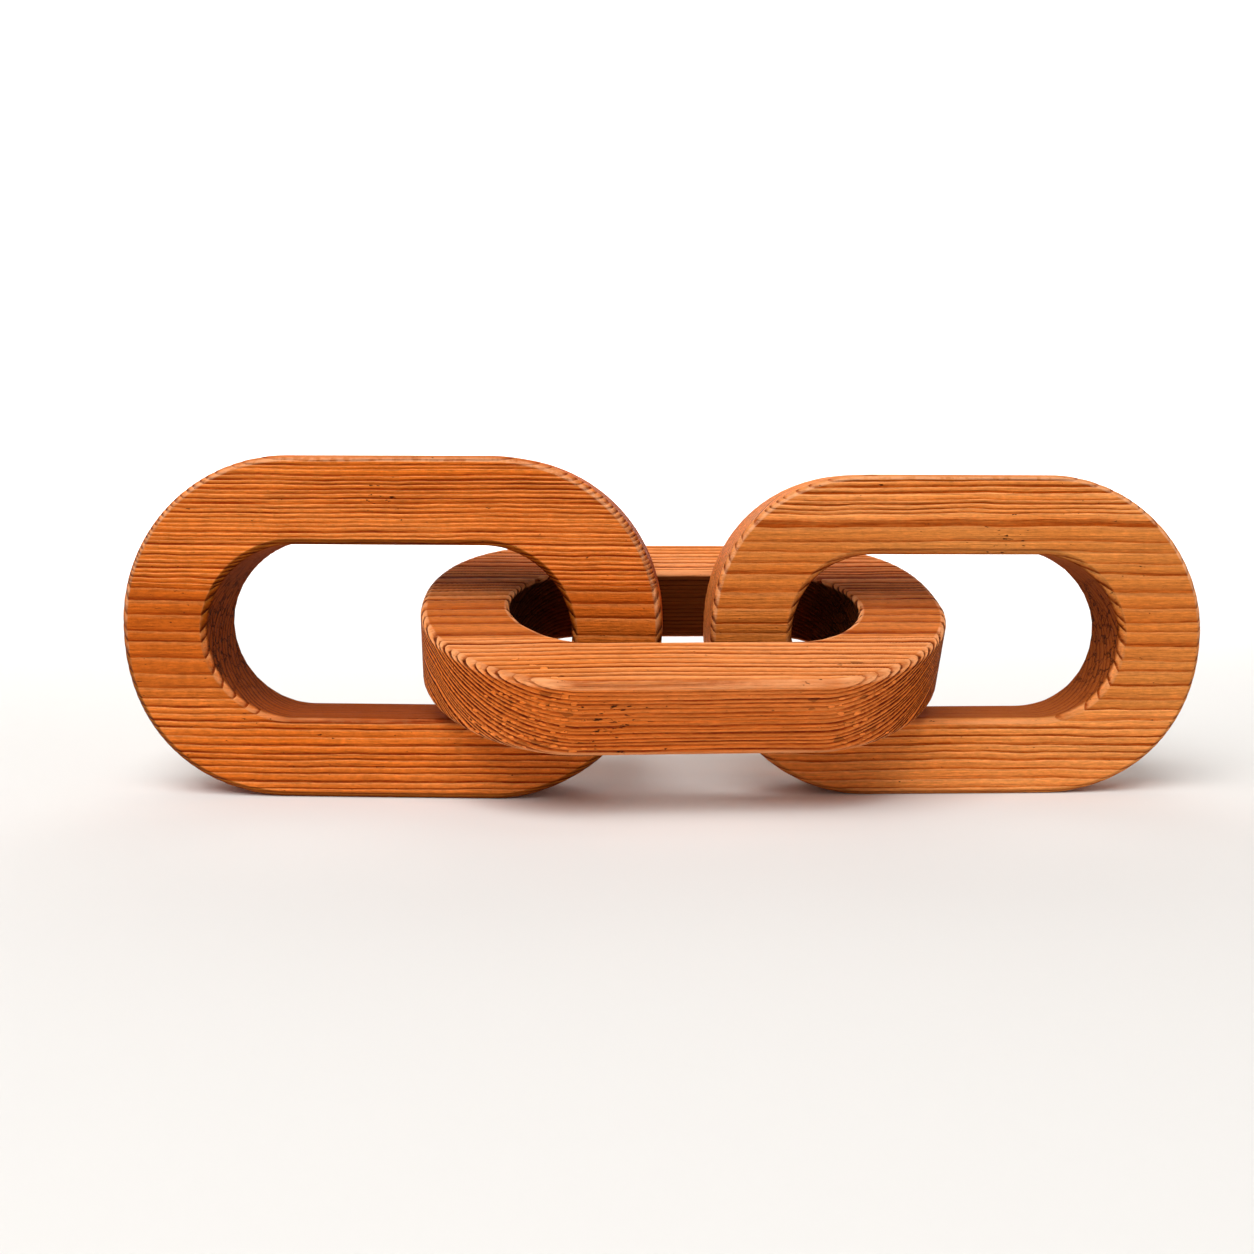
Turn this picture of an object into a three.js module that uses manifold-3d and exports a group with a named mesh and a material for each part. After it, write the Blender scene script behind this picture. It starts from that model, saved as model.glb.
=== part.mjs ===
import * as THREE from 'three';
import Module from 'manifold-3d';

// A whimsy carved chain: three captive links cut out of one square softwood timber.
// Millimetres, +Z up. The end links stand on edge and the middle link is threaded
// through both, leaning forward against their ends and resting on their lower bars.

const wasm = await Module();
wasm.setup();

// Driving dimensions of each link: its hole, the four bars around the hole, its
// thickness and the eased edges. Upper is the far side on the middle link.
// Fullness is the exponent of each rounded corner: 2 is a true arc, more is squarer
// and less leaves more wood in the corner of a hole.
const leftLink = {
  holeLength: 95,
  holeHeight: 45,
  upperBar: 22.8,
  lowerBar: 21.2,
  leftBar: 22.1,
  rightBar: 23.2,
  thickness: 23.2,
  outerChamfer: 1.4,
  holeChamfer: 1.3,
  outerFullness: { upperRight: 2.08, upperLeft: 2, lowerLeft: 2.2, lowerRight: 1.93 },
  holeFullness: { upperRight: 1.92, upperLeft: 1.9, lowerLeft: 2, lowerRight: 2.1 },
};
const middleLink = {
  holeLength: 92.8,
  holeHeight: 39.2,
  upperBar: 20,
  lowerBar: 21.3,
  leftBar: 23,
  rightBar: 23.3,
  thickness: 20.7,
  outerChamfer: 1.7,
  holeChamfer: 1.2,
  outerFullness: { upperRight: 2.7, upperLeft: 2.34, lowerLeft: 1.92, lowerRight: 1.73 },
  holeFullness: { upperRight: 1.99, upperLeft: 1.97, lowerLeft: 1.77, lowerRight: 1.79 },
};
const rightLink = {
  holeLength: 87.4,
  holeHeight: 43.3,
  upperBar: 20.8,
  lowerBar: 20.6,
  leftBar: 21.5,
  rightBar: 22.1,
  thickness: 19.9,
  outerChamfer: 1.1,
  holeChamfer: 1.5,
  outerFullness: { upperRight: 1.94, upperLeft: 2.2, lowerLeft: 2.01, lowerRight: 2.17 },
  holeFullness: { upperRight: 1.87, upperLeft: 2.12, lowerLeft: 1.45, lowerRight: 2.12 },
};

// How the loose chain has come to rest
const endGap = 11.9; // between the facing ends of the two end links
const rightSetBack = 5.1; // the right link stands this much behind the left one
const leftTurn = -2; // degrees, seen from above
const rightTurn = 2.7;
const middleTurn = 4.9;
const middleLean = 21.4; // degrees, near bar down
const restGap = 0.3; // between touching pieces

// Facets of every link
const arcSteps = 24; // in each rounded corner
const straightSteps = 4; // along each straight bar

const woodColour = 0xd0702c;
const degree = Math.PI / 180;

function outerLength(link) {
  return link.leftBar + link.holeLength + link.rightBar;
}

function outerHeight(link) {
  return link.lowerBar + link.holeHeight + link.upperBar;
}

// One closed outline, anticlockwise from the middle of the right end. Its straight
// sides run along X, and each end is two rounded corners of half the height.
function stadium(length, height, fullness, centreX, centreY) {
  const radius = height / 2;
  const straight = (length - height) / 2;
  const points = [];
  const corner = (sideX, sideY, exponent, rising) => {
    for (let step = 0; step <= arcSteps; step += 1) {
      const share = rising ? step / arcSteps : 1 - step / arcSteps;
      const angle = (share * Math.PI) / 2;
      const across = Math.max(Math.cos(angle), 0) ** (2 / exponent);
      const up = Math.sin(angle) ** (2 / exponent);
      points.push([
        centreX + sideX * (straight + radius * across),
        centreY + sideY * radius * up,
      ]);
    }
  };
  const bar = (sideY, direction) => {
    for (let step = 1; step < straightSteps; step += 1) {
      const share = (2 * step) / straightSteps - 1;
      points.push([centreX + direction * straight * share, centreY + sideY * radius]);
    }
  };
  corner(1, 1, fullness.upperRight, true);
  bar(1, -1);
  corner(-1, 1, fullness.upperLeft, false);
  points.pop();
  corner(-1, -1, fullness.lowerLeft, true);
  bar(-1, 1);
  corner(1, -1, fullness.lowerRight, false);
  points.pop();
  return points;
}

// A link lying flat in the XY plane, centred on its outline, with its face up.
// Eight closed loops, four around the outside and four down the hole, are joined
// in turn, so the whole link is one skin with an eased edge at each corner.
function linkGeometry(link) {
  const length = outerLength(link);
  const height = outerHeight(link);
  const holeX = (link.leftBar - link.rightBar) / 2;
  const holeY = (link.lowerBar - link.upperBar) / 2;
  const face = link.thickness / 2;
  const outside = (inset, z) =>
    stadium(length - 2 * inset, height - 2 * inset, link.outerFullness, 0, 0)
      .map(([x, y]) => [x, y, z]);
  const inside = (outset, z) => {
    const holeLength = link.holeLength + 2 * outset;
    const holeHeight = link.holeHeight + 2 * outset;
    return stadium(holeLength, holeHeight, link.holeFullness, holeX, holeY)
      .map(([x, y]) => [x, y, z]);
  };
  const loops = [
    outside(link.outerChamfer, -face),
    outside(0, link.outerChamfer - face),
    outside(0, face - link.outerChamfer),
    outside(link.outerChamfer, face),
    inside(link.holeChamfer, face),
    inside(0, face - link.holeChamfer),
    inside(0, link.holeChamfer - face),
    inside(link.holeChamfer, -face),
  ];
  const count = loops[0].length;
  const indices = [];
  loops.forEach((loop, row) => {
    const near = row * count;
    const next = ((row + 1) % loops.length) * count;
    for (let i = 0; i < count; i += 1) {
      const j = (i + 1) % count;
      indices.push(near + i, near + j, next + j, near + i, next + j, next + i);
    }
  });
  const geometry = new THREE.BufferGeometry();
  const positions = new THREE.Float32BufferAttribute(loops.flat(2), 3);
  geometry.setAttribute('position', positions);
  geometry.setIndex(indices);
  geometry.computeVertexNormals();
  return geometry;
}

function makeLink(name, link) {
  const material = new THREE.MeshStandardMaterial({
    color: woodColour,
    roughness: 0.6,
    metalness: 0,
  });
  const mesh = new THREE.Mesh(linkGeometry(link), material);
  mesh.name = name;
  mesh.rotation.order = 'ZYX';
  return mesh;
}

// An end link stands on its lower bar with its face to the front
function standEndLink(mesh, link, x, y, turn) {
  mesh.rotation.set(Math.PI / 2, 0, turn * degree);
  mesh.position.set(x, y, outerHeight(link) / 2);
}

function placedSolid(mesh) {
  mesh.updateMatrixWorld();
  const placed = mesh.geometry.clone().applyMatrix4(mesh.matrixWorld);
  return new wasm.Manifold(new wasm.Mesh({
    numProp: 3,
    vertProperties: placed.attributes.position.array,
    triVerts: new Uint32Array(placed.index.array),
  }));
}

// How far a mesh can move along one axis before it meets any of the solids
function travelToContact(mesh, axis, direction, reach, solids) {
  const start = mesh.position[axis];
  let clear = 0;
  let blocked = reach;
  while (blocked - clear > restGap / 20) {
    const travel = (clear + blocked) / 2;
    mesh.position[axis] = start + direction * travel;
    const moved = placedSolid(mesh);
    const meets = solids.some((solid) => !moved.intersect(solid).isEmpty());
    if (meets) {
      blocked = travel;
    } else {
      clear = travel;
    }
  }
  mesh.position[axis] = start;
  return clear;
}

// The middle link starts clear, with its hole around the facing ends. It slides back
// until its near bar meets them, then drops and rolls until both lower bars carry it.
function restMiddleLink(mesh, link, left, right) {
  const ends = [placedSolid(left), placedSolid(right)];
  mesh.rotation.set(middleLean * degree, 0, middleTurn * degree);
  const backwards = travelToContact(mesh, 'y', 1, link.holeHeight, ends);
  mesh.position.y += backwards - restGap;
  const span = right.position.x - left.position.x;
  const rollPasses = 4;
  for (let pass = 0; pass < rollPasses; pass += 1) {
    const [dropLeft, dropRight] = ends.map((solid) =>
      travelToContact(mesh, 'z', -1, link.thickness, [solid]));
    mesh.rotation.y += Math.atan2(dropRight - dropLeft, span);
  }
  mesh.position.z -= travelToContact(mesh, 'z', -1, link.thickness, ends) - restGap;
}

const left = makeLink('left_link', leftLink);
const middle = makeLink('middle_link', middleLink);
const right = makeLink('right_link', rightLink);

standEndLink(left, leftLink, -(endGap + outerLength(leftLink)) / 2, 0, leftTurn);
const rightX = (endGap + outerLength(rightLink)) / 2;
standEndLink(right, rightLink, rightX, rightSetBack, rightTurn);

// The middle link's hole starts midway between the faces of the two facing ends
const leftEndY = (outerLength(leftLink) / 2) * Math.sin(leftTurn * degree);
const rightEndY = rightSetBack - (outerLength(rightLink) / 2) * Math.sin(rightTurn * degree);
const holeOffset = (middleLink.lowerBar - middleLink.upperBar) / 2;
const startY = (leftEndY + rightEndY) / 2 - holeOffset;
const startZ = leftLink.lowerBar + leftLink.holeHeight / 2;
middle.position.set(0, startY, startZ);
restMiddleLink(middle, middleLink, left, right);

const chain = new THREE.Group();
chain.add(left, middle, right);

// The origin is the middle of the chain's box, on the surface it stands on
const box = new THREE.Box3().setFromObject(chain, true);
const centre = box.getCenter(new THREE.Vector3());
chain.children.forEach((mesh) => {
  mesh.position.x -= centre.x;
  mesh.position.y -= centre.y;
});

export default chain;
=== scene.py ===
import math

import bpy
from mathutils import Matrix, Vector


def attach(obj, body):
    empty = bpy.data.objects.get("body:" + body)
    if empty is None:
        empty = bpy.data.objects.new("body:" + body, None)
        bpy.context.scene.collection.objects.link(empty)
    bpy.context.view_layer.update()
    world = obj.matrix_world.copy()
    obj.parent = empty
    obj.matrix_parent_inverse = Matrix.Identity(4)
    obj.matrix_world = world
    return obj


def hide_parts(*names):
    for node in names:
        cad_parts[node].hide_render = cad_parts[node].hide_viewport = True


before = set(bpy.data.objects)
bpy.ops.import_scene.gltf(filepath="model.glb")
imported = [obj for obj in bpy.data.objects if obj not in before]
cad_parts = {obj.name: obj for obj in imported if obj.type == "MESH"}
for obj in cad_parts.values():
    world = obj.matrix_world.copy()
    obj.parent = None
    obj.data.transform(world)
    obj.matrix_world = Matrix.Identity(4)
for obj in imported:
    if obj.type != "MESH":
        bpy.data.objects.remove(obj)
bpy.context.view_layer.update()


def linearColour(hexText):  # an sRGB hex colour as the linear values that Blender wants
    channels = [int(hexText[i:i + 2], 16) / 255 for i in (1, 3, 5)]
    linear = [c / 12.92 if c <= 0.04045 else ((c + 0.055) / 1.055) ** 2.4 for c in channels]
    return (*linear, 1.0)


def addNode(tree, kind, *values, **settings):  # inputs in order: a node, a socket, a number or None
    node = tree.nodes.new(kind)
    count = len(tree.nodes)
    node.location = (190 * (count % 14), -210 * (count // 14))
    for name, value in settings.items():
        setattr(node, name, value)
    for i, value in enumerate(values):
        if isinstance(value, bpy.types.Node):
            tree.links.new(value.outputs[0], node.inputs[i])
        elif isinstance(value, bpy.types.NodeSocket):
            tree.links.new(value, node.inputs[i])
        elif value is not None:
            node.inputs[i].default_value = value
    return node


# The three links. Millimetres and degrees, each in its own frame: X along the link and its
# grain, Y across it towards its upper bar, Z out of its face. A named corner is its exponent, and
# a Roundness of 1 makes the eased edges round. Ring widths are as seen on the face.
# Each finish also sets painted shade for the hole walls and for edges that face down, and painted
# highlights on edges, outer corners and ring ridges
leftLink = {
    "name": "leftLinkCarved",
    "node": "left_link",
    "sizes": {
        "Hole Length": 95, "Hole Height": 45, "Upper Bar": 22.8, "Lower Bar": 21.2,
        "Left Bar": 22.1, "Right Bar": 23.2, "Thickness": 23.2,
        "Outer Chamfer": 1.4, "Hole Chamfer": 1.3, "Roundness": 0.2,
        "Outer Upper Right": 2.08, "Outer Upper Left": 2, "Outer Lower Left": 2.2,
        "Outer Lower Right": 1.93, "Hole Upper Right": 1.92, "Hole Upper Left": 1.9,
        "Hole Lower Left": 2, "Hole Lower Right": 2.1,
    },
    "rings": {
        "First Width": 1.2, "Middle Width": 3.7, "Last Width": 1.95, "Middle From": -11.2,
        "Middle To": 18.1, "Depth Width": 2.2, "Waviness": 0.5, "Seed": 3, "Relief": 0.16,
    },
    "finish": {
        "spring": "#E27322", "springLight": "#EC863A", "summer": "#B84E04", "line": "#822A00",
        "edge": "#F0A870", "holeWallShadeAndOil": "#863A0A", "crack": "#260C02",
        "edgeWearAndHighlight": 0.45, "holeShadeAndOil": 0.85, "endHoleShadeAndOil": 0.92, "wallTint": "#F6DCBE",
        "wideTint": "#FAEACC",
        "pitted": (0, 34, 11), "pitReach": 9, "torn": [],
        "edgeShade": 1.0, "edgeShadeTint": "#B0B080", "cornerHighlight": 0.5, "holeRings": 0.6,
        "corner": "#F6B484", "chatter": 0.65, "sideLines": 1.0,
    },
    "place": (-71.465, -1.362, 44.5),
    "turn": (90, 0, -2),
}
middleLink = {
    "name": "middleLinkCarved",
    "node": "middle_link",
    "sizes": {
        "Hole Length": 92.8, "Hole Height": 39.2, "Upper Bar": 20, "Lower Bar": 21.3,
        "Left Bar": 23, "Right Bar": 23.3, "Thickness": 20.7,
        "Outer Chamfer": 1.5, "Hole Chamfer": 1.2, "Roundness": 0.8,
        "Outer Upper Right": 2.7, "Outer Upper Left": 2.34, "Outer Lower Left": 1.92,
        "Outer Lower Right": 1.73, "Hole Upper Right": 1.99, "Hole Upper Left": 1.97,
        "Hole Lower Left": 1.77, "Hole Lower Right": 1.79,
    },
    "rings": {
        "First Width": 2.1, "Middle Width": 4.8, "Last Width": 2.1, "Middle From": -3.6,
        "Middle To": 17, "Depth Width": -1.2, "Waviness": 0.6, "Seed": 11, "Relief": 0.22,
    },
    "finish": {
        "spring": "#EC924C", "springLight": "#F4A66C", "summer": "#C66010", "line": "#762600",
        "edge": "#F8AC74", "holeWallShadeAndOil": "#4C2006", "crack": "#1A0802",
        "edgeWearAndHighlight": 0.8, "holeShadeAndOil": 0.9, "endHoleShadeAndOil": 0.96, "wallTint": "#E8C498",
        "wideTint": "#F6D2A0",
        "pitted": (-22, -41, -1), "pitReach": 13,
        "torn": [((-42, -38, -4), 1.0), ((38, -40, -3), 0.4)],  # places, and how badly
        "edgeShade": 0.0, "edgeShadeTint": "#C8C8A0", "cornerHighlight": 0.0, "holeRings": 0.5,
        "corner": "#F6B484", "chatter": 0.4, "sideLines": 0.88,
    },
    "place": (4.635, -0.203, 40.361),
    "turn": (21.4, 0.122, 4.9),
}
rightLink = {
    "name": "rightLinkCarved",
    "node": "right_link",
    "sizes": {
        "Hole Length": 87.4, "Hole Height": 43.3, "Upper Bar": 20.8, "Lower Bar": 20.6,
        "Left Bar": 21.5, "Right Bar": 22.1, "Thickness": 19.9,
        "Outer Chamfer": 1.1, "Hole Chamfer": 1.5, "Roundness": 0.3,
        "Outer Upper Right": 1.94, "Outer Upper Left": 2.2, "Outer Lower Left": 2.01,
        "Outer Lower Right": 2.17, "Hole Upper Right": 1.87, "Hole Upper Left": 2.12,
        "Hole Lower Left": 1.45, "Hole Lower Right": 2.12,
    },
    "rings": {
        "First Width": 1.5, "Middle Width": 3.6, "Last Width": 2.2, "Middle From": -30.3,
        "Middle To": 19.7, "Depth Width": 2.2, "Waviness": 0.65, "Seed": 23, "Relief": 0.14,
    },
    "finish": {
        "spring": "#F08C3E", "springLight": "#F6A25A", "summer": "#C85C10", "line": "#963C04",
        "edge": "#F4AC78", "holeWallShadeAndOil": "#904210", "crack": "#2A0E02",
        "edgeWearAndHighlight": 0.4, "holeShadeAndOil": 0.85, "endHoleShadeAndOil": 0.92, "wallTint": "#FFF0DC",
        "wideTint": "#FAEACC",
        "pitted": (12, 26, 10), "pitReach": 8, "torn": [],
        "edgeShade": 0.75, "edgeShadeTint": "#C8C49C", "cornerHighlight": 0.6, "holeRings": 0.3,
        "corner": "#F4B080", "chatter": 0.35, "sideLines": 1.0,
    },
    "place": (76.085, 3.738, 42.35),
    "turn": (90, 0, 2.7),
}
links = [leftLink, middleLink, rightLink]

# How finely a link's skin is divided, and the millimetres within which its ends are joined
skin = {"endStations": 224, "barStations": 16, "sideRows": 44, "faceRows": 50, "chamferRows": 3}
seamReach = 0.002


# How the rings bend out of true: how often in a millimetre along the link, across it and through
# it, and by how many millimetres at most
ringBends = {"slow": ((0.012, 0.02, 0.02), 2.4), "small": ((0.08, 0.16, 0.16), 0.8)}


def addWander(tree, place, rings):  # how far the rings bend at a place on a link, in millimetres
    shift = addNode(tree, "ShaderNodeCombineXYZ", rings["Seed"], rings["Seed"], rings["Seed"])
    bends = []
    for repeats, reach in ringBends.values():
        spot = addNode(tree, "ShaderNodeVectorMath", place, repeats, operation="MULTIPLY")
        spot = addNode(tree, "ShaderNodeVectorMath", spot, shift, operation="ADD")
        bend = addNode(tree, "ShaderNodeTexNoise", spot, None, 1.0, 2.0, 0.5)
        bend = addNode(tree, "ShaderNodeMapRange", bend, 0.0, 1.0, -reach, reach, clamp=False)
        bends.append(bend)
    wander = addNode(tree, "ShaderNodeMath", *bends, operation="ADD")
    return addNode(tree, "ShaderNodeMath", wander, rings["Waviness"], operation="MULTIPLY")


def addRings(tree, place, wander, rings):  # how far through a ring, its number and the rings' slope
    parts = addNode(tree, "ShaderNodeSeparateXYZ", place)
    across = addNode(tree, "ShaderNodeMath", wander, parts.outputs[1], operation="SUBTRACT")
    # three spells of growth across the link, each with its own ring width, and one pace into it
    first = addNode(tree, "ShaderNodeMath", across, rings["Middle From"], operation="MINIMUM")
    first = addNode(tree, "ShaderNodeMath", first, rings["First Width"], operation="DIVIDE")
    second = addNode(tree, "ShaderNodeClamp", across, rings["Middle From"], rings["Middle To"])
    second = addNode(tree, "ShaderNodeMath", second, rings["Middle Width"], operation="DIVIDE")
    third = addNode(tree, "ShaderNodeMath", across, rings["Middle To"], operation="MAXIMUM")
    third = addNode(tree, "ShaderNodeMath", third, rings["Last Width"], operation="DIVIDE")
    age = addNode(tree, "ShaderNodeMath", first, second, operation="ADD")
    age = addNode(tree, "ShaderNodeMath", age, third, operation="ADD")
    into = addNode(tree, "ShaderNodeMath", parts.outputs[2], rings["Depth Width"],
                   operation="DIVIDE")
    age = addNode(tree, "ShaderNodeMath", age, into, operation="SUBTRACT")
    # good and bad years make rings wider and narrower
    weather = addNode(tree, "ShaderNodeMath", age, 0.37, operation="MULTIPLY")
    weather = addNode(tree, "ShaderNodeMath", weather, rings["Seed"], operation="ADD")
    weather = addNode(tree, "ShaderNodeTexNoise", None, weather, 1.0, 1.0, 0.5,
                      noise_dimensions="1D")
    weather = addNode(tree, "ShaderNodeMapRange", weather, 0.0, 1.0, -0.6, 0.6, clamp=False)
    age = addNode(tree, "ShaderNodeMath", age, weather, operation="ADD")
    through = addNode(tree, "ShaderNodeMath", age, operation="FRACT")
    number = addNode(tree, "ShaderNodeMath", age, operation="FLOOR")
    inMiddle = addNode(tree, "ShaderNodeMath", across, rings["Middle From"],
                       operation="GREATER_THAN")
    inLast = addNode(tree, "ShaderNodeMath", across, rings["Middle To"], operation="GREATER_THAN")
    width = addNode(tree, "ShaderNodeMix", inMiddle, None,
                    rings["First Width"], rings["Middle Width"])
    width = addNode(tree, "ShaderNodeMix", inLast, None, width, rings["Last Width"])
    pace = addNode(tree, "ShaderNodeMath", -1.0, width, operation="DIVIDE")
    depthPace = addNode(tree, "ShaderNodeMath", -1.0, rings["Depth Width"], operation="DIVIDE")
    slope = addNode(tree, "ShaderNodeCombineXYZ", 0.0, pace, depthPace)
    return through, number, slope


def addSpacing(tree, slope, normal):  # millimetres between rings along a surface that faces normal
    facing = addNode(tree, "ShaderNodeVectorMath", slope, normal, operation="DOT_PRODUCT")
    sunk = addNode(tree, "ShaderNodeVectorMath", normal, None, None, facing.outputs["Value"],
                   operation="SCALE")
    along = addNode(tree, "ShaderNodeVectorMath", slope, sunk, operation="SUBTRACT")
    pace = addNode(tree, "ShaderNodeVectorMath", along, operation="LENGTH").outputs["Value"]
    return addNode(tree, "ShaderNodeMath", 1.0, pace, operation="DIVIDE")


def addSteps(tree, value, start, steps):  # start plus, for each step, a change between two rows
    total = start
    for begin, end, change in steps:
        step = addNode(tree, "ShaderNodeMapRange", value, begin, end, 0.0, change)
        total = addNode(tree, "ShaderNodeMath", total, step, operation="ADD")
    return total


def addOutline(tree, cosine, sine, bar, length, height, corners):  # with superellipse corners
    right = addNode(tree, "ShaderNodeMath", cosine, 0.0, operation="GREATER_THAN")
    upper = addNode(tree, "ShaderNodeMath", sine, 0.0, operation="GREATER_THAN")
    rightPower = addNode(tree, "ShaderNodeMix", upper, None, corners[3], corners[0])
    leftPower = addNode(tree, "ShaderNodeMix", upper, None, corners[2], corners[1])
    power = addNode(tree, "ShaderNodeMix", right, None, leftPower, rightPower)
    power = addNode(tree, "ShaderNodeMath", 2.0, power, operation="DIVIDE")
    across = addNode(tree, "ShaderNodeMath", cosine, operation="ABSOLUTE")
    across = addNode(tree, "ShaderNodeMath", across, power, operation="POWER")
    sideways = addNode(tree, "ShaderNodeMath", cosine, operation="SIGN")
    across = addNode(tree, "ShaderNodeMath", across, sideways, operation="MULTIPLY")
    along = addNode(tree, "ShaderNodeMath", sine, operation="ABSOLUTE")
    along = addNode(tree, "ShaderNodeMath", along, power, operation="POWER")
    upwards = addNode(tree, "ShaderNodeMath", sine, operation="SIGN")
    along = addNode(tree, "ShaderNodeMath", along, upwards, operation="MULTIPLY")
    straight = addNode(tree, "ShaderNodeMath", length, height, operation="SUBTRACT")
    straight = addNode(tree, "ShaderNodeMath", straight, bar, operation="MULTIPLY")
    straight = addNode(tree, "ShaderNodeMath", straight, 0.5, operation="MULTIPLY")
    radius = addNode(tree, "ShaderNodeMath", height, 0.5, operation="MULTIPLY")
    return across, along, straight, radius


def buildLinkTree():
    tree = bpy.data.node_groups.new("Carved link", "GeometryNodeTree")
    sockets = list(leftLink["sizes"]) + list(leftLink["rings"])
    for name in sockets:
        tree.interface.new_socket(name, in_out="INPUT", socket_type="NodeSocketFloat")
    tree.interface.new_socket("Place", in_out="INPUT", socket_type="NodeSocketVector")
    tree.interface.new_socket("Turn", in_out="INPUT", socket_type="NodeSocketVector")
    tree.interface.new_socket("Material", in_out="INPUT", socket_type="NodeSocketMaterial")
    tree.interface.new_socket("Link", in_out="OUTPUT", socket_type="NodeSocketGeometry")
    given = addNode(tree, "NodeGroupInput").outputs
    ends, bars = skin["endStations"], skin["barStations"]
    side, face, chamfer = skin["sideRows"], skin["faceRows"], skin["chamferRows"]
    stations = 2 * (ends + bars)
    rows = 2 * (side + face) + 4 * chamfer
    grid = addNode(tree, "GeometryNodeMeshGrid", float(stations), float(rows),
                   stations + 1, rows + 1)
    where = addNode(tree, "ShaderNodeSeparateXYZ", addNode(tree, "GeometryNodeInputPosition"))
    station = addNode(tree, "ShaderNodeMath", where.outputs[0], stations / 2, operation="ADD")
    row = addNode(tree, "ShaderNodeMath", where.outputs[1], rows / 2, operation="ADD")

    # around the link: half turns at its ends, straight runs along its bars
    angle = addSteps(tree, station, -math.pi / 2, [
        (0, ends, math.pi),
        (ends + bars, 2 * ends + bars, math.pi),
    ])
    bar = addSteps(tree, station, 1.0, [
        (ends, ends + bars, -2.0),
        (2 * ends + bars, stations, 2.0),
    ])
    cosine = addNode(tree, "ShaderNodeMath", angle, operation="COSINE")
    sine = addNode(tree, "ShaderNodeMath", angle, operation="SINE")
    length = addNode(tree, "ShaderNodeMath", given["Hole Length"], given["Left Bar"],
                     operation="ADD")
    length = addNode(tree, "ShaderNodeMath", length, given["Right Bar"], operation="ADD")
    height = addNode(tree, "ShaderNodeMath", given["Hole Height"], given["Upper Bar"],
                     operation="ADD")
    height = addNode(tree, "ShaderNodeMath", height, given["Lower Bar"], operation="ADD")
    corners = ["Upper Right", "Upper Left", "Lower Left", "Lower Right"]
    outer = addOutline(tree, cosine, sine, bar, length, height,
                       [given["Outer " + corner] for corner in corners])
    hole = addOutline(tree, cosine, sine, bar, given["Hole Length"], given["Hole Height"],
                      [given["Hole " + corner] for corner in corners])
    holeX = addNode(tree, "ShaderNodeMath", given["Left Bar"], given["Right Bar"],
                    operation="SUBTRACT")
    holeX = addNode(tree, "ShaderNodeMath", holeX, 0.5, operation="MULTIPLY")
    holeY = addNode(tree, "ShaderNodeMath", given["Lower Bar"], given["Upper Bar"],
                    operation="SUBTRACT")
    holeY = addNode(tree, "ShaderNodeMath", holeY, 0.5, operation="MULTIPLY")

    # around the section: outside wall, face, wall of the hole and back face, with a quarter turn
    # between them
    faceStart = side + chamfer
    faceEnd = faceStart + face
    wallStart = faceEnd + chamfer
    wallEnd = wallStart + side
    backStart = wallEnd + chamfer
    backEnd = backStart + face
    edges = [(side, faceStart), (faceEnd, wallStart), (wallEnd, backStart), (backEnd, rows)]
    quarter = addSteps(tree, row, 0.0, [(begin, end, math.pi / 2) for begin, end in edges])
    turned = []
    for operation in ("COSINE", "SINE"):  # a flat eased edge, mixed with a round one
        rounded = addNode(tree, "ShaderNodeMath", quarter, operation=operation)
        flat = addNode(tree, "ShaderNodeMath", rounded, operation="ARCSINE")
        flat = addNode(tree, "ShaderNodeMath", flat, math.pi / 2, operation="DIVIDE")
        turned.append(addNode(tree, "ShaderNodeMix", given["Roundness"], None, flat, rounded))
    outwards, upwards = turned
    inward = addSteps(tree, row, 0.0, [(faceStart, faceEnd, 1.0), (backStart, backEnd, -1.0)])
    level = addSteps(tree, row, -1.0, [(0, side, 2.0), (wallStart, wallEnd, -2.0)])
    ease = addNode(tree, "ShaderNodeMix", inward, None,
                   given["Outer Chamfer"], given["Hole Chamfer"])
    half = addNode(tree, "ShaderNodeMath", given["Thickness"], 0.5, operation="MULTIPLY")
    straightHalf = addNode(tree, "ShaderNodeMath", half, ease, operation="SUBTRACT")
    depth = addNode(tree, "ShaderNodeMath", level, straightHalf, operation="MULTIPLY")
    depth = addNode(tree, "ShaderNodeMath", upwards, ease, depth, operation="MULTIPLY_ADD")
    places = []
    for outline, cutName, turnShift, middleX, middleY in (
            (outer, "Outer Chamfer", -1.0, 0.0, 0.0), (hole, "Hole Chamfer", 1.0, holeX, holeY)):
        reach = addNode(tree, "ShaderNodeMath", outwards, turnShift, operation="ADD")
        reach = addNode(tree, "ShaderNodeMath", reach, given[cutName], outline[3],
                        operation="MULTIPLY_ADD")
        x = addNode(tree, "ShaderNodeMath", outline[0], reach, outline[2], operation="MULTIPLY_ADD")
        x = addNode(tree, "ShaderNodeMath", x, middleX, operation="ADD")
        y = addNode(tree, "ShaderNodeMath", outline[1], reach, middleY, operation="MULTIPLY_ADD")
        places.append(addNode(tree, "ShaderNodeCombineXYZ", x, y, depth))
    outerWeight = addNode(tree, "ShaderNodeMath", 1.0, inward, operation="SUBTRACT")
    outerPart = addNode(tree, "ShaderNodeVectorMath", places[0], None, None, outerWeight,
                        operation="SCALE")
    holePart = addNode(tree, "ShaderNodeVectorMath", places[1], None, None, inward,
                       operation="SCALE")
    place = addNode(tree, "ShaderNodeVectorMath", outerPart, holePart, operation="ADD")

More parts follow.
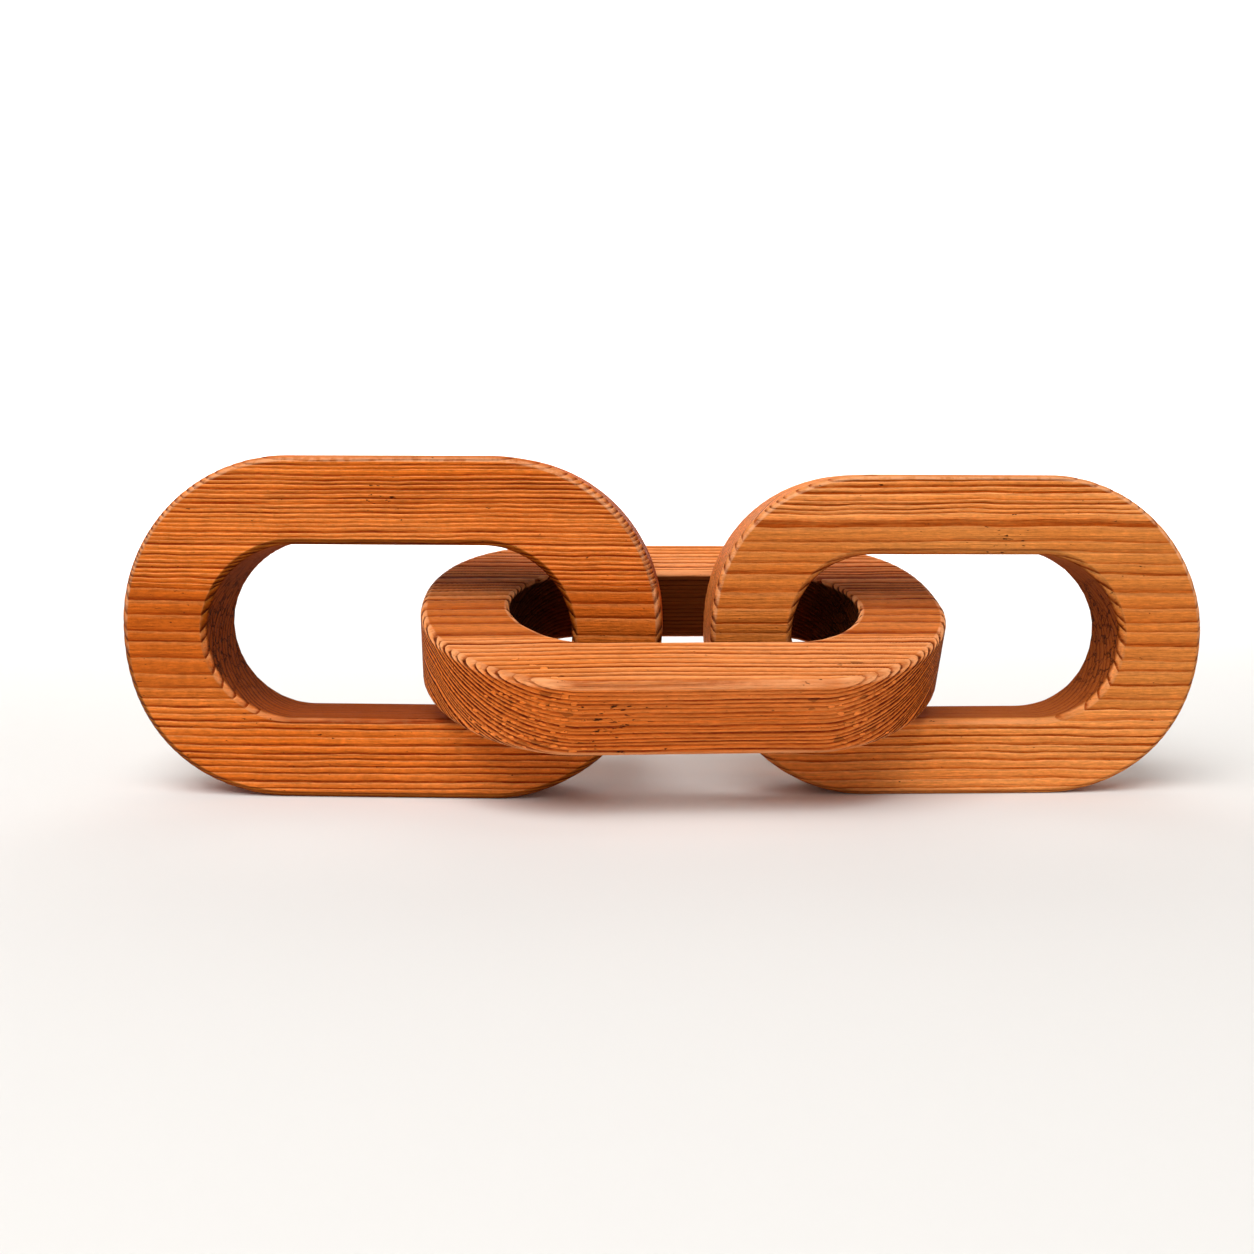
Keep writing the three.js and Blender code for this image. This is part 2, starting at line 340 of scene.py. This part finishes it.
    # marks that the finish reads: 1 on the wall of the hole, along the eased edges, and where the
    # outer ones meet the faces
    inHole = addSteps(tree, row, 0.0, [
        (wallStart - 1, wallStart, 1.0), (wallEnd, wallEnd + 1, -1.0),
    ])
    edgeSteps = []
    for begin, end in edges:
        edgeSteps += [(begin - 1, begin, 1.0), (end, end + 1, -1.0)]
    onEdge = addSteps(tree, row, 0.0, edgeSteps)
    onCorner = addSteps(tree, row, 0.0, [
        (faceStart - 2, faceStart - 1, 1.0), (faceStart, faceStart + 1, -1.0),
        (backEnd - 1, backEnd, 1.0), (backEnd + 1, backEnd + 2, -1.0),
    ])
    marked = grid
    for name, mark in (("inHole", inHole), ("onEdge", onEdge), ("onCorner", onCorner)):
        marked = addNode(tree, "GeometryNodeStoreNamedAttribute", marked, None, name, mark,
                         data_type="FLOAT", domain="POINT")
    link = addNode(tree, "GeometryNodeSetPosition", marked, None, place)
    link = addNode(tree, "GeometryNodeMergeByDistance", link)
    link.inputs["Distance"].default_value = seamReach

    # the wire brush leaves each ring as a low ridge between narrow grooves
    skinPlace = addNode(tree, "GeometryNodeInputPosition")
    wander = addWander(tree, skinPlace, given)
    link = addNode(tree, "GeometryNodeStoreNamedAttribute", link, None, "wander", wander,
                   data_type="FLOAT", domain="POINT")
    through, number, slope = addRings(tree, skinPlace, wander, given)
    normal = addNode(tree, "GeometryNodeInputNormal")
    spacing = addSpacing(tree, slope, normal)
    swell = addNode(tree, "ShaderNodeMath", through, math.pi, operation="MULTIPLY")
    swell = addNode(tree, "ShaderNodeMath", swell, operation="SINE")
    swell = addNode(tree, "ShaderNodeMath", swell, 0.6, operation="POWER")
    swell = addNode(tree, "ShaderNodeMath", swell, 1.0, operation="SUBTRACT")
    swell = addNode(tree, "ShaderNodeMath", swell, given["Relief"], operation="MULTIPLY")
    share = addNode(tree, "ShaderNodeMapRange", spacing, 0.6, 3.0, 0.2, 1.0)
    swell = addNode(tree, "ShaderNodeMath", swell, share, operation="MULTIPLY")
    lift = addNode(tree, "ShaderNodeVectorMath", normal, None, None, swell, operation="SCALE")
    link = addNode(tree, "GeometryNodeSetPosition", link, None, None, lift)
    link = addNode(tree, "GeometryNodeTransform", link)
    tree.links.new(given["Place"], link.inputs["Translation"])
    tree.links.new(given["Turn"], link.inputs["Rotation"])
    link.inputs["Scale"].default_value = (0.001, 0.001, 0.001)
    link = addNode(tree, "GeometryNodeSetShadeSmooth", link)
    link = addNode(tree, "GeometryNodeRealizeInstances", link)
    link = addNode(tree, "GeometryNodeSetMaterial", link, None, given["Material"])
    addNode(tree, "NodeGroupOutput", link)
    return tree


# How often the marks of the finish repeat in a millimetre along the grain, across it and through
# the link, so 0.45 is about every 2 mm, and then the detail and roughness of their noise
grainMarks = {
    "chatter": ((0.45, 0.3, 0.3), 3.0, 0.6),  # ripples left by the cutter
    "fade": ((0.05, 1.0, 1.0), 2.0, 0.5),  # where a ring's line fades and returns
    "fibres": ((0.09, 2.6, 2.6), 4.0, 0.6),
    "flecks": ((0.45, 2.0, 2.0), 3.0, 0.65),
    "streaks": ((0.015, 1.3, 1.3), 2.0, 0.6),
    "clouds": ((0.015, 0.06, 0.06), 2.0, 0.5),  # slow changes of tone
    "rubs": ((0.04, 0.5, 0.5), 3.0, 0.6),  # where edges are worn
    "pits": ((0.4, 1.1, 1.1), 2.0, 0.7),
}
flakeRepeats = (0.42, 0.7, 1.05)
crackRepeats = (0.2, 0.15, 0.22)
# How dark the wood is through one ring: it darkens slowly and ends in a sharp line
ringTones = ((0.05, 0.0), (0.35, 0.08), (0.58, 0.32), (0.74, 0.66), (0.83, 1.0), (0.96, 1.0))
# Millimetres from the middle of a torn patch to where it starts, and to where it is worst
tornEdge, tornCore = 18, 5
chatterShading = 0.14  # how much the painted light and shade of the cutter's ripples changes the tone, at full chatter
sideTone = 0.4  # how much of what the lines lose on a straight wall goes into its ground
bumpDepth = 0.0006  # metres that a height of 1 stands for


# Fir, cut from one timber, wire-brushed and oiled. The brush wears the ground between
# the rings, and the oil turns the summer wood deep orange-brown and the end grain dark brown.
def makeFir(link):
    finish = link["finish"]
    colours = {
        name: linearColour(value) for name, value in finish.items() if isinstance(value, str)
    }
    material = bpy.data.materials.new("oiledFir" + link["name"][0].upper() + link["name"][1:])
    material.use_nodes = True
    tree = material.node_tree
    tree.nodes.clear()

    # the link's own millimetres, which way its skin faces, and the marks made with it
    turn = [math.radians(number) for number in link["turn"]]
    coordinates = addNode(tree, "ShaderNodeTexCoord")
    place = addNode(tree, "ShaderNodeMapping", coordinates.outputs["Object"],
                    [number / 1000 for number in link["place"]], turn, (0.001, 0.001, 0.001),
                    vector_type="TEXTURE")
    facing = addNode(tree, "ShaderNodeMapping", coordinates.outputs["Normal"], (0, 0, 0), turn,
                     (1, 1, 1), vector_type="TEXTURE")
    facingParts = addNode(tree, "ShaderNodeSeparateXYZ", facing)
    upward = facingParts.outputs[1]
    endOn, sideOn, faceOn = [
        addNode(tree, "ShaderNodeMath", part, operation="ABSOLUTE") for part in facingParts.outputs
    ]
    inHole, onEdge, onCorner, wander = [
        addNode(tree, "ShaderNodeAttribute", attribute_name=name).outputs["Fac"]
        for name in ("inHole", "onEdge", "onCorner", "wander")
    ]
    marks = {}
    for name, (repeats, detail, rough) in grainMarks.items():
        spot = addNode(tree, "ShaderNodeVectorMath", place, repeats, operation="MULTIPLY")
        marks[name] = addNode(tree, "ShaderNodeTexNoise", spot, None, 1.0, detail, rough)

    # summer wood takes up more of a ring where rings are close
    through, number, slope = addRings(tree, place, wander, link["rings"])
    spacing = addSpacing(tree, slope, facing)
    lean = addNode(tree, "ShaderNodeMapRange", spacing, 1.0, 3.4, 0.5, 1.3)
    late = addNode(tree, "ShaderNodeMath", through, lean, operation="POWER")
    late = addNode(tree, "ShaderNodeValToRGB", late)
    stops = late.color_ramp.elements
    stops[0].position, stops[0].color = 0.0, (0.3, 0.3, 0.3, 1)
    stops[1].position, stops[1].color = 1.0, (0.7, 0.7, 0.7, 1)
    for position, grey in ringTones:
        stops.new(position).color = (grey, grey, grey, 1)

    # no two rings are equally dark, except on end grain, where all are
    strength = addNode(tree, "ShaderNodeTexWhiteNoise", None, number, noise_dimensions="1D")
    strength = addNode(tree, "ShaderNodeMapRange", strength, 0.0, 1.0, 0.6, 1.0)
    endWall = addNode(tree, "ShaderNodeMapRange", endOn, 0.15, 0.6, 0.0, 0.8)
    strength = addNode(tree, "ShaderNodeMix", endWall, None, strength, 1.1)
    # a straight wall is cut along the grain and comes out smoother, so its lines are fainter
    sideLines = addNode(tree, "ShaderNodeMapRange", sideOn, 0.72, 0.95, 1.0, finish["sideLines"])
    beads = addNode(tree, "ShaderNodeMapRange", marks["chatter"], 0.3, 0.7, 0.85, 1.12)
    fade = addNode(tree, "ShaderNodeMapRange", marks["fade"], 0.35, 0.6, 0.75, 1.08)

    # here and there where the grain runs out, the brush has torn small flakes and left hollows
    torn = 0.0
    for middle, badly in finish["torn"]:
        away = addNode(tree, "ShaderNodeVectorMath", place, middle, operation="DISTANCE")
        near = addNode(tree, "ShaderNodeMapRange", away.outputs["Value"], tornEdge, tornCore,
                       0.0, badly)
        torn = addNode(tree, "ShaderNodeMath", torn, near, operation="MAXIMUM")
    offEdge = addNode(tree, "ShaderNodeMath", 1.0, onEdge, operation="SUBTRACT")
    torn = addNode(tree, "ShaderNodeMath", torn, offEdge, operation="MULTIPLY")
    flakePlace = addNode(tree, "ShaderNodeVectorMath", place, flakeRepeats, operation="MULTIPLY")
    cells = addNode(tree, "ShaderNodeTexVoronoi", flakePlace, None, 1.0)
    flakeShape = addNode(tree, "ShaderNodeMapRange", cells.outputs["Distance"], 0.5, 0.4, 0.0, 1.0)
    chance = addNode(tree, "ShaderNodeSeparateXYZ", cells.outputs["Color"])
    flakeLevel = addNode(tree, "ShaderNodeMapRange", torn, 0.0, 1.0, 1.0, 0.56)
    flakes = addNode(tree, "ShaderNodeMath", chance, flakeLevel, operation="GREATER_THAN")
    flakes = addNode(tree, "ShaderNodeMath", flakes, flakeShape, operation="MULTIPLY")
    hollowLevel = addNode(tree, "ShaderNodeMath", torn, 0.1, operation="MULTIPLY")
    hollows = addNode(tree, "ShaderNodeMath", chance, hollowLevel, operation="LESS_THAN")
    unflaked = addNode(tree, "ShaderNodeMapRange", flakes, 0.0, 1.0, 1.0, 0.35)

    for share, clamped in ((strength, False), (sideLines, False), (beads, True), (fade, True),
                           (unflaked, False)):
        late = addNode(tree, "ShaderNodeMath", late, share, operation="MULTIPLY",
                       use_clamp=clamped)
    line = addNode(tree, "ShaderNodeMapRange", late, 0.45, 0.95, 0.0, 0.95)
    faint = addNode(tree, "ShaderNodeMapRange", spacing, 1.8, 3.4, 1.0, 0.5)
    line = addNode(tree, "ShaderNodeMath", line, faint, operation="MULTIPLY")
    endGrain = addNode(tree, "ShaderNodeMapRange", endOn, 0.3, 0.9, 0.0, 0.7)
    lineTone = addNode(tree, "ShaderNodeMix", endGrain, None, None, None, None, None,
                       colours["line"], colours["crack"], data_type="RGBA").outputs[2]
    # a painted highlight on the ridge just past each ring's dark line
    ridgeHighlight = addNode(tree, "ShaderNodeMapRange", through, 0.03, 0.25, 0.4, 0.0)

    # light and dark: what varies, the range of it that counts, and the shade at each end of that
    rippleShading = chatterShading * finish["chatter"]
    sideDark = 1 - sideTone * (1 - finish["sideLines"])
    shades = (
        (marks["fibres"], 0.3, 0.7, 0.8, 1.12),
        (marks["flecks"], 0.3, 0.7, 0.82, 1.14),
        (marks["streaks"], 0.3, 0.7, 0.84, 1.14),
        # painted light and shade of the cutter's ripples
        (marks["chatter"], 0.35, 0.65, 1 - rippleShading, 1 + rippleShading),
        (spacing, 1.1, 3.5, 1.22, 0.78),
        # the end walls are painted lighter, a painted light
        (endOn, 0.15, 0.6, 1.0, 1.12),
        (sideOn, 0.72, 0.95, 1.0, sideDark),
        (hollows, 0.0, 1.0, 1.0, 0.6),
        (flakes, 0.0, 1.0, 1.0, 1.3),
    )
    shade = 1.0
    for varies, low, high, atLow, atHigh in shades:
        step = addNode(tree, "ShaderNodeMapRange", varies, low, high, atLow, atHigh)
        shade = addNode(tree, "ShaderNodeMath", shade, step, operation="MULTIPLY")

    # edges that face down are painted darker, a painted shade, and the other edges are painted
    # pale, partly wear and partly a painted highlight
    below = addNode(tree, "ShaderNodeMapRange", upward, 0.3, -0.1, 0.0, finish["edgeShade"])
    paintedEdgeShade = addNode(tree, "ShaderNodeMath", below, onEdge, operation="MULTIPLY")
    unshadedEdge = addNode(tree, "ShaderNodeMath", 1.0, paintedEdgeShade, operation="SUBTRACT")
    wornAndLitEdge = addNode(tree, "ShaderNodeMapRange", marks["rubs"], 0.35, 0.65, 0.1, finish["edgeWearAndHighlight"])
    early = addNode(tree, "ShaderNodeMapRange", late, 0.3, 0.9, 1.0, 0.1)
    paleWearAndHighlight = onEdge
    for share in (wornAndLitEdge, early, unshadedEdge):
        paleWearAndHighlight = addNode(tree, "ShaderNodeMath", paleWearAndHighlight, share, operation="MULTIPLY")

    # outer corners that face up get a painted highlight, palest of all, in beads along the cutter's
    # ripples
    above = addNode(tree, "ShaderNodeMapRange", upward, -0.05, 0.15, 0.0, finish["cornerHighlight"])
    beaded = addNode(tree, "ShaderNodeMapRange", marks["chatter"], 0.4, 0.55, 0.2, 1.0)
    corner = addNode(tree, "ShaderNodeMath", above, beaded, operation="MULTIPLY")
    corner = addNode(tree, "ShaderNodeMath", corner, onCorner, operation="MULTIPLY")

    # the walls of the hole are painted dark, a painted shade inside the hole, darkest on end grain,
    # which also drinks the most oil; there the wood has cracked as it dried, about half a
    # centimetre apart
    holeShadeAndOilMask = addNode(tree, "ShaderNodeMapRange", endOn, 0.1, 0.8, finish["holeShadeAndOil"], finish["endHoleShadeAndOil"])
    holeShadeAndOilMask = addNode(tree, "ShaderNodeMath", holeShadeAndOilMask, inHole, operation="MULTIPLY")
    ringTone = addNode(tree, "ShaderNodeMath", late, finish["holeRings"], operation="MULTIPLY")
    holeShadeAndOilColour = addNode(tree, "ShaderNodeMix", ringTone, None, None, None, None, None,
                    colours["holeWallShadeAndOil"], colours["crack"], data_type="RGBA").outputs[2]
    crackPlace = addNode(tree, "ShaderNodeVectorMath", place, crackRepeats, operation="MULTIPLY")
    bend = addNode(tree, "ShaderNodeTexNoise", crackPlace, None, 2.0, 2.0, 0.5).outputs["Color"]
    bend = addNode(tree, "ShaderNodeVectorMath", bend, (1.2, 1.2, 1.2), crackPlace,
                   operation="MULTIPLY_ADD")
    cracks = addNode(tree, "ShaderNodeTexVoronoi", bend, None, 1.0, feature="DISTANCE_TO_EDGE")
    cracks = addNode(tree, "ShaderNodeMapRange", cracks, 0.0, 0.06, 1.0, 0.0)
    crackEnds = addNode(tree, "ShaderNodeMapRange", endOn, 0.5, 0.9, 0.0, 1.0)
    for share in (holeShadeAndOilMask, crackEnds):
        cracks = addNode(tree, "ShaderNodeMath", cracks, share, operation="MULTIPLY")

    # small pits, longer along the grain and thickest round one place
    away = addNode(tree, "ShaderNodeVectorMath", place, finish["pitted"], operation="DISTANCE")
    pitted = addNode(tree, "ShaderNodeMapRange", away.outputs["Value"], finish["pitReach"], 0.0,
                     0.0, 0.13)
    pits = addNode(tree, "ShaderNodeMath", marks["pits"], pitted, operation="ADD")
    pits = addNode(tree, "ShaderNodeMapRange", pits, 0.71, 0.76, 0.0, 0.9)

    # the colour, coat over coat: how much of each, its colour, and how it goes on
    wide = addNode(tree, "ShaderNodeMapRange", spacing, 1.5, 3.4, 0.0, 1.0)
    walled = addNode(tree, "ShaderNodeMapRange", faceOn, 0.2, 0.9, 1.0, 0.0)
    clouds = addNode(tree, "ShaderNodeMapRange", marks["clouds"], 0.3, 0.7, 0.0, 1.0)
    coats = (
        (clouds, colours["springLight"], "MIX"),
        (late, colours["summer"], "MIX"),
        (line, lineTone, "MIX"),
        # painted highlight past each ring's line
        (ridgeHighlight, colours["edge"], "MIX"),
        (1.0, shade, "MULTIPLY"),
        (wide, colours["wideTint"], "MULTIPLY"),  # wide rings hold more oil, and the next line tints the walls darker and deeper orange than the faces
        (walled, colours["wallTint"], "MULTIPLY"),
        # painted shade on edges that face down
        (paintedEdgeShade, colours["edgeShadeTint"], "MULTIPLY"),
        # pale edges, partly wear and partly a painted highlight
        (paleWearAndHighlight, colours["edge"], "MIX"),
        # painted highlight on outer corners that face up
        (corner, colours["corner"], "MIX"),
        # painted shade in the hole, with the darker oil of its end grain
        (holeShadeAndOilMask, holeShadeAndOilColour, "MIX"),
        (cracks, colours["crack"], "MIX"),
        (pits, colours["crack"], "MIX"),
    )
    wood = colours["spring"]
    for amount, colour, blend in coats:
        wood = addNode(tree, "ShaderNodeMix", amount, None, None, None, None, None, wood, colour,
                       data_type="RGBA", blend_type=blend).outputs[2]

    # the brush cuts deeper grooves where rings are close, and deepest on end grain
    groove = addNode(tree, "ShaderNodeMapRange", spacing, 1.0, 3.0, -1.2, -0.45)
    deeper = addNode(tree, "ShaderNodeMapRange", endOn, 0.15, 0.6, 1.0, 1.6)
    brushed = addNode(tree, "ShaderNodeMapRange", inHole, 0.0, 1.0, 1.0, finish["holeRings"])
    for share in (deeper, brushed):
        groove = addNode(tree, "ShaderNodeMath", groove, share, operation="MULTIPLY")
    height = addNode(tree, "ShaderNodeMath", late, groove, operation="MULTIPLY")
    heights = (
        (marks["chatter"], finish["chatter"]),
        (marks["flecks"], 0.35),
        (flakes, 0.8),
        (hollows, -0.8),
        (marks["streaks"], 0.5),
        (marks["fibres"], 0.35),
        (pits, -0.6),
        (cracks, -0.5),
    )
    for mark, rise in heights:
        height = addNode(tree, "ShaderNodeMath", mark, rise, height, operation="MULTIPLY_ADD")
    bump = addNode(tree, "ShaderNodeBump", 1.0, bumpDepth)
    tree.links.new(height.outputs[0], bump.inputs["Height"])

    # oil that has sunk in leaves hardly any gloss, and summer wood is the smoother
    roughness = addNode(tree, "ShaderNodeMapRange", late, 0.0, 1.0, 0.66, 0.52)
    roughness = addNode(tree, "ShaderNodeMix", inHole, None, roughness, 0.95)
    surface = addNode(tree, "ShaderNodeBsdfPrincipled")
    surface.inputs["IOR"].default_value = 1.47
    surface.inputs["Specular IOR Level"].default_value = 0.04
    tree.links.new(wood, surface.inputs["Base Color"])
    tree.links.new(roughness.outputs[0], surface.inputs["Roughness"])
    tree.links.new(bump.outputs[0], surface.inputs["Normal"])
    addNode(tree, "ShaderNodeOutputMaterial", surface)
    return material


def carveLink(link, linkTree):
    blankName = link["name"] + "Blank"
    blank = bpy.data.objects.new(blankName, bpy.data.meshes.new(blankName))
    bpy.context.collection.objects.link(blank)
    modifier = blank.modifiers.new("Carved link", "NODES")
    modifier.node_group = linkTree
    values = {**link["sizes"], **link["rings"]}
    values["Place"] = [number / 1000 for number in link["place"]]
    values["Turn"] = [math.radians(number) for number in link["turn"]]
    values["Material"] = makeFir(link)
    for socket in linkTree.interface.items_tree:
        if socket.in_out == "INPUT":
            value = values[socket.name]
            modifier[socket.identifier] = float(value) if isinstance(value, (int, float)) else value
    evaluated = blank.evaluated_get(bpy.context.evaluated_depsgraph_get())
    mesh = bpy.data.meshes.new_from_object(evaluated)
    mesh.name = link["name"]
    bpy.data.objects.remove(blank)
    piece = bpy.data.objects.new(link["name"], mesh)
    bpy.context.collection.objects.link(piece)
    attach(piece, "root")
    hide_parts(link["node"])
    print(link["name"], len(mesh.vertices), "vertices")
    return piece


linkTree = buildLinkTree()
for link in links:
    carveLink(link, linkTree)
print("the links are carved")


# A close camera a little above the chain, as a phone is held
camera = {
    "place": (-0.010725, -0.333723, 0.082059),
    "pitch": -6.521,  # degrees, down
    "roll": 0.222,
    "lens": 36,
    "sensor": 36,
}
cameraData = bpy.data.cameras.new("camera")
cameraData.lens = camera["lens"]
cameraData.sensor_width = camera["sensor"]
cameraData.clip_start = 0.01
cameraObject = bpy.data.objects.new("camera", cameraData)
bpy.context.collection.objects.link(cameraObject)
cameraObject.matrix_world = (
    Matrix.Translation(camera["place"])
    @ Matrix.Rotation(math.radians(90 + camera["pitch"]), 4, "X")
    @ Matrix.Rotation(math.radians(camera["roll"]), 4, "Z")
)
bpy.context.scene.camera = cameraObject
bpy.context.scene.view_settings.view_transform = "Standard"


# A pale floor that sweeps up behind the chain
sweep = {
    "front": -2.5, "back": 1.6, "radius": 0.9, "top": 3.0, "half": 4.0, "steps": 12,
    "colour": "#E4E2DF",
}


def makeSweep():
    profile = [(sweep["front"], 0.0), (sweep["back"], 0.0)]
    for step in range(1, sweep["steps"] + 1):
        angle = math.radians(90 * step / sweep["steps"])
        profile.append((sweep["back"] + sweep["radius"] * math.sin(angle),
                        sweep["radius"] * (1 - math.cos(angle))))
    profile.append((sweep["back"] + sweep["radius"], sweep["top"]))
    points = [(x, y, z) for y, z in profile for x in (-sweep["half"], sweep["half"])]
    faces = [(2 * i, 2 * i + 1, 2 * i + 3, 2 * i + 2) for i in range(len(profile) - 1)]
    mesh = bpy.data.meshes.new("floor")
    mesh.from_pydata(points, [], faces)
    mesh.polygons.foreach_set("use_smooth", [True] * len(faces))
    floor = bpy.data.objects.new("floor", mesh)
    bpy.context.collection.objects.link(floor)
    paper = bpy.data.materials.new("matteBackdropPaper")
    paper.use_nodes = True
    surface = paper.node_tree.nodes["Principled BSDF"]
    surface.inputs["Base Color"].default_value = linearColour(sweep["colour"])
    surface.inputs["Roughness"].default_value = 0.9
    mesh.materials.append(paper)


makeSweep()

# Soft light from above and in front, a weak fill from the right, and light on the backdrop
lamps = [
    {"name": "keyLight", "place": (-0.35, -0.85, 1.4), "aim": (0, 0, 0.04), "size": 1.3,
     "power": 30.5, "spread": 180},
    {"name": "fillLight", "place": (0.9, -0.7, 0.35), "aim": (0.05, 0, 0.04), "size": 0.7,
     "power": 1.0, "spread": 180},
    {"name": "backdropLight", "place": (0, 0.9, 2.2), "aim": (0, 2.4, 0.8), "size": 2.4,
     "power": 80, "spread": 120},
]
for lamp in lamps:
    lightData = bpy.data.lights.new(lamp["name"], "AREA")
    lightData.size = lamp["size"]
    lightData.energy = lamp["power"]
    lightData.spread = math.radians(lamp["spread"])
    light = bpy.data.objects.new(lamp["name"], lightData)
    bpy.context.collection.objects.link(light)
    direction = Vector(lamp["aim"]) - Vector(lamp["place"])
    light.location = lamp["place"]
    light.rotation_euler = direction.to_track_quat("-Z", "Y").to_euler()
room = {"colour": "#FFFCF8", "strength": 0.22}  # faint light from all round
world = bpy.data.worlds.new("studio")
bpy.context.scene.world = world
world.use_nodes = True
background = world.node_tree.nodes["Background"]
background.inputs["Color"].default_value = linearColour(room["colour"])
background.inputs["Strength"].default_value = room["strength"]
print("the floor, lights and camera are set")
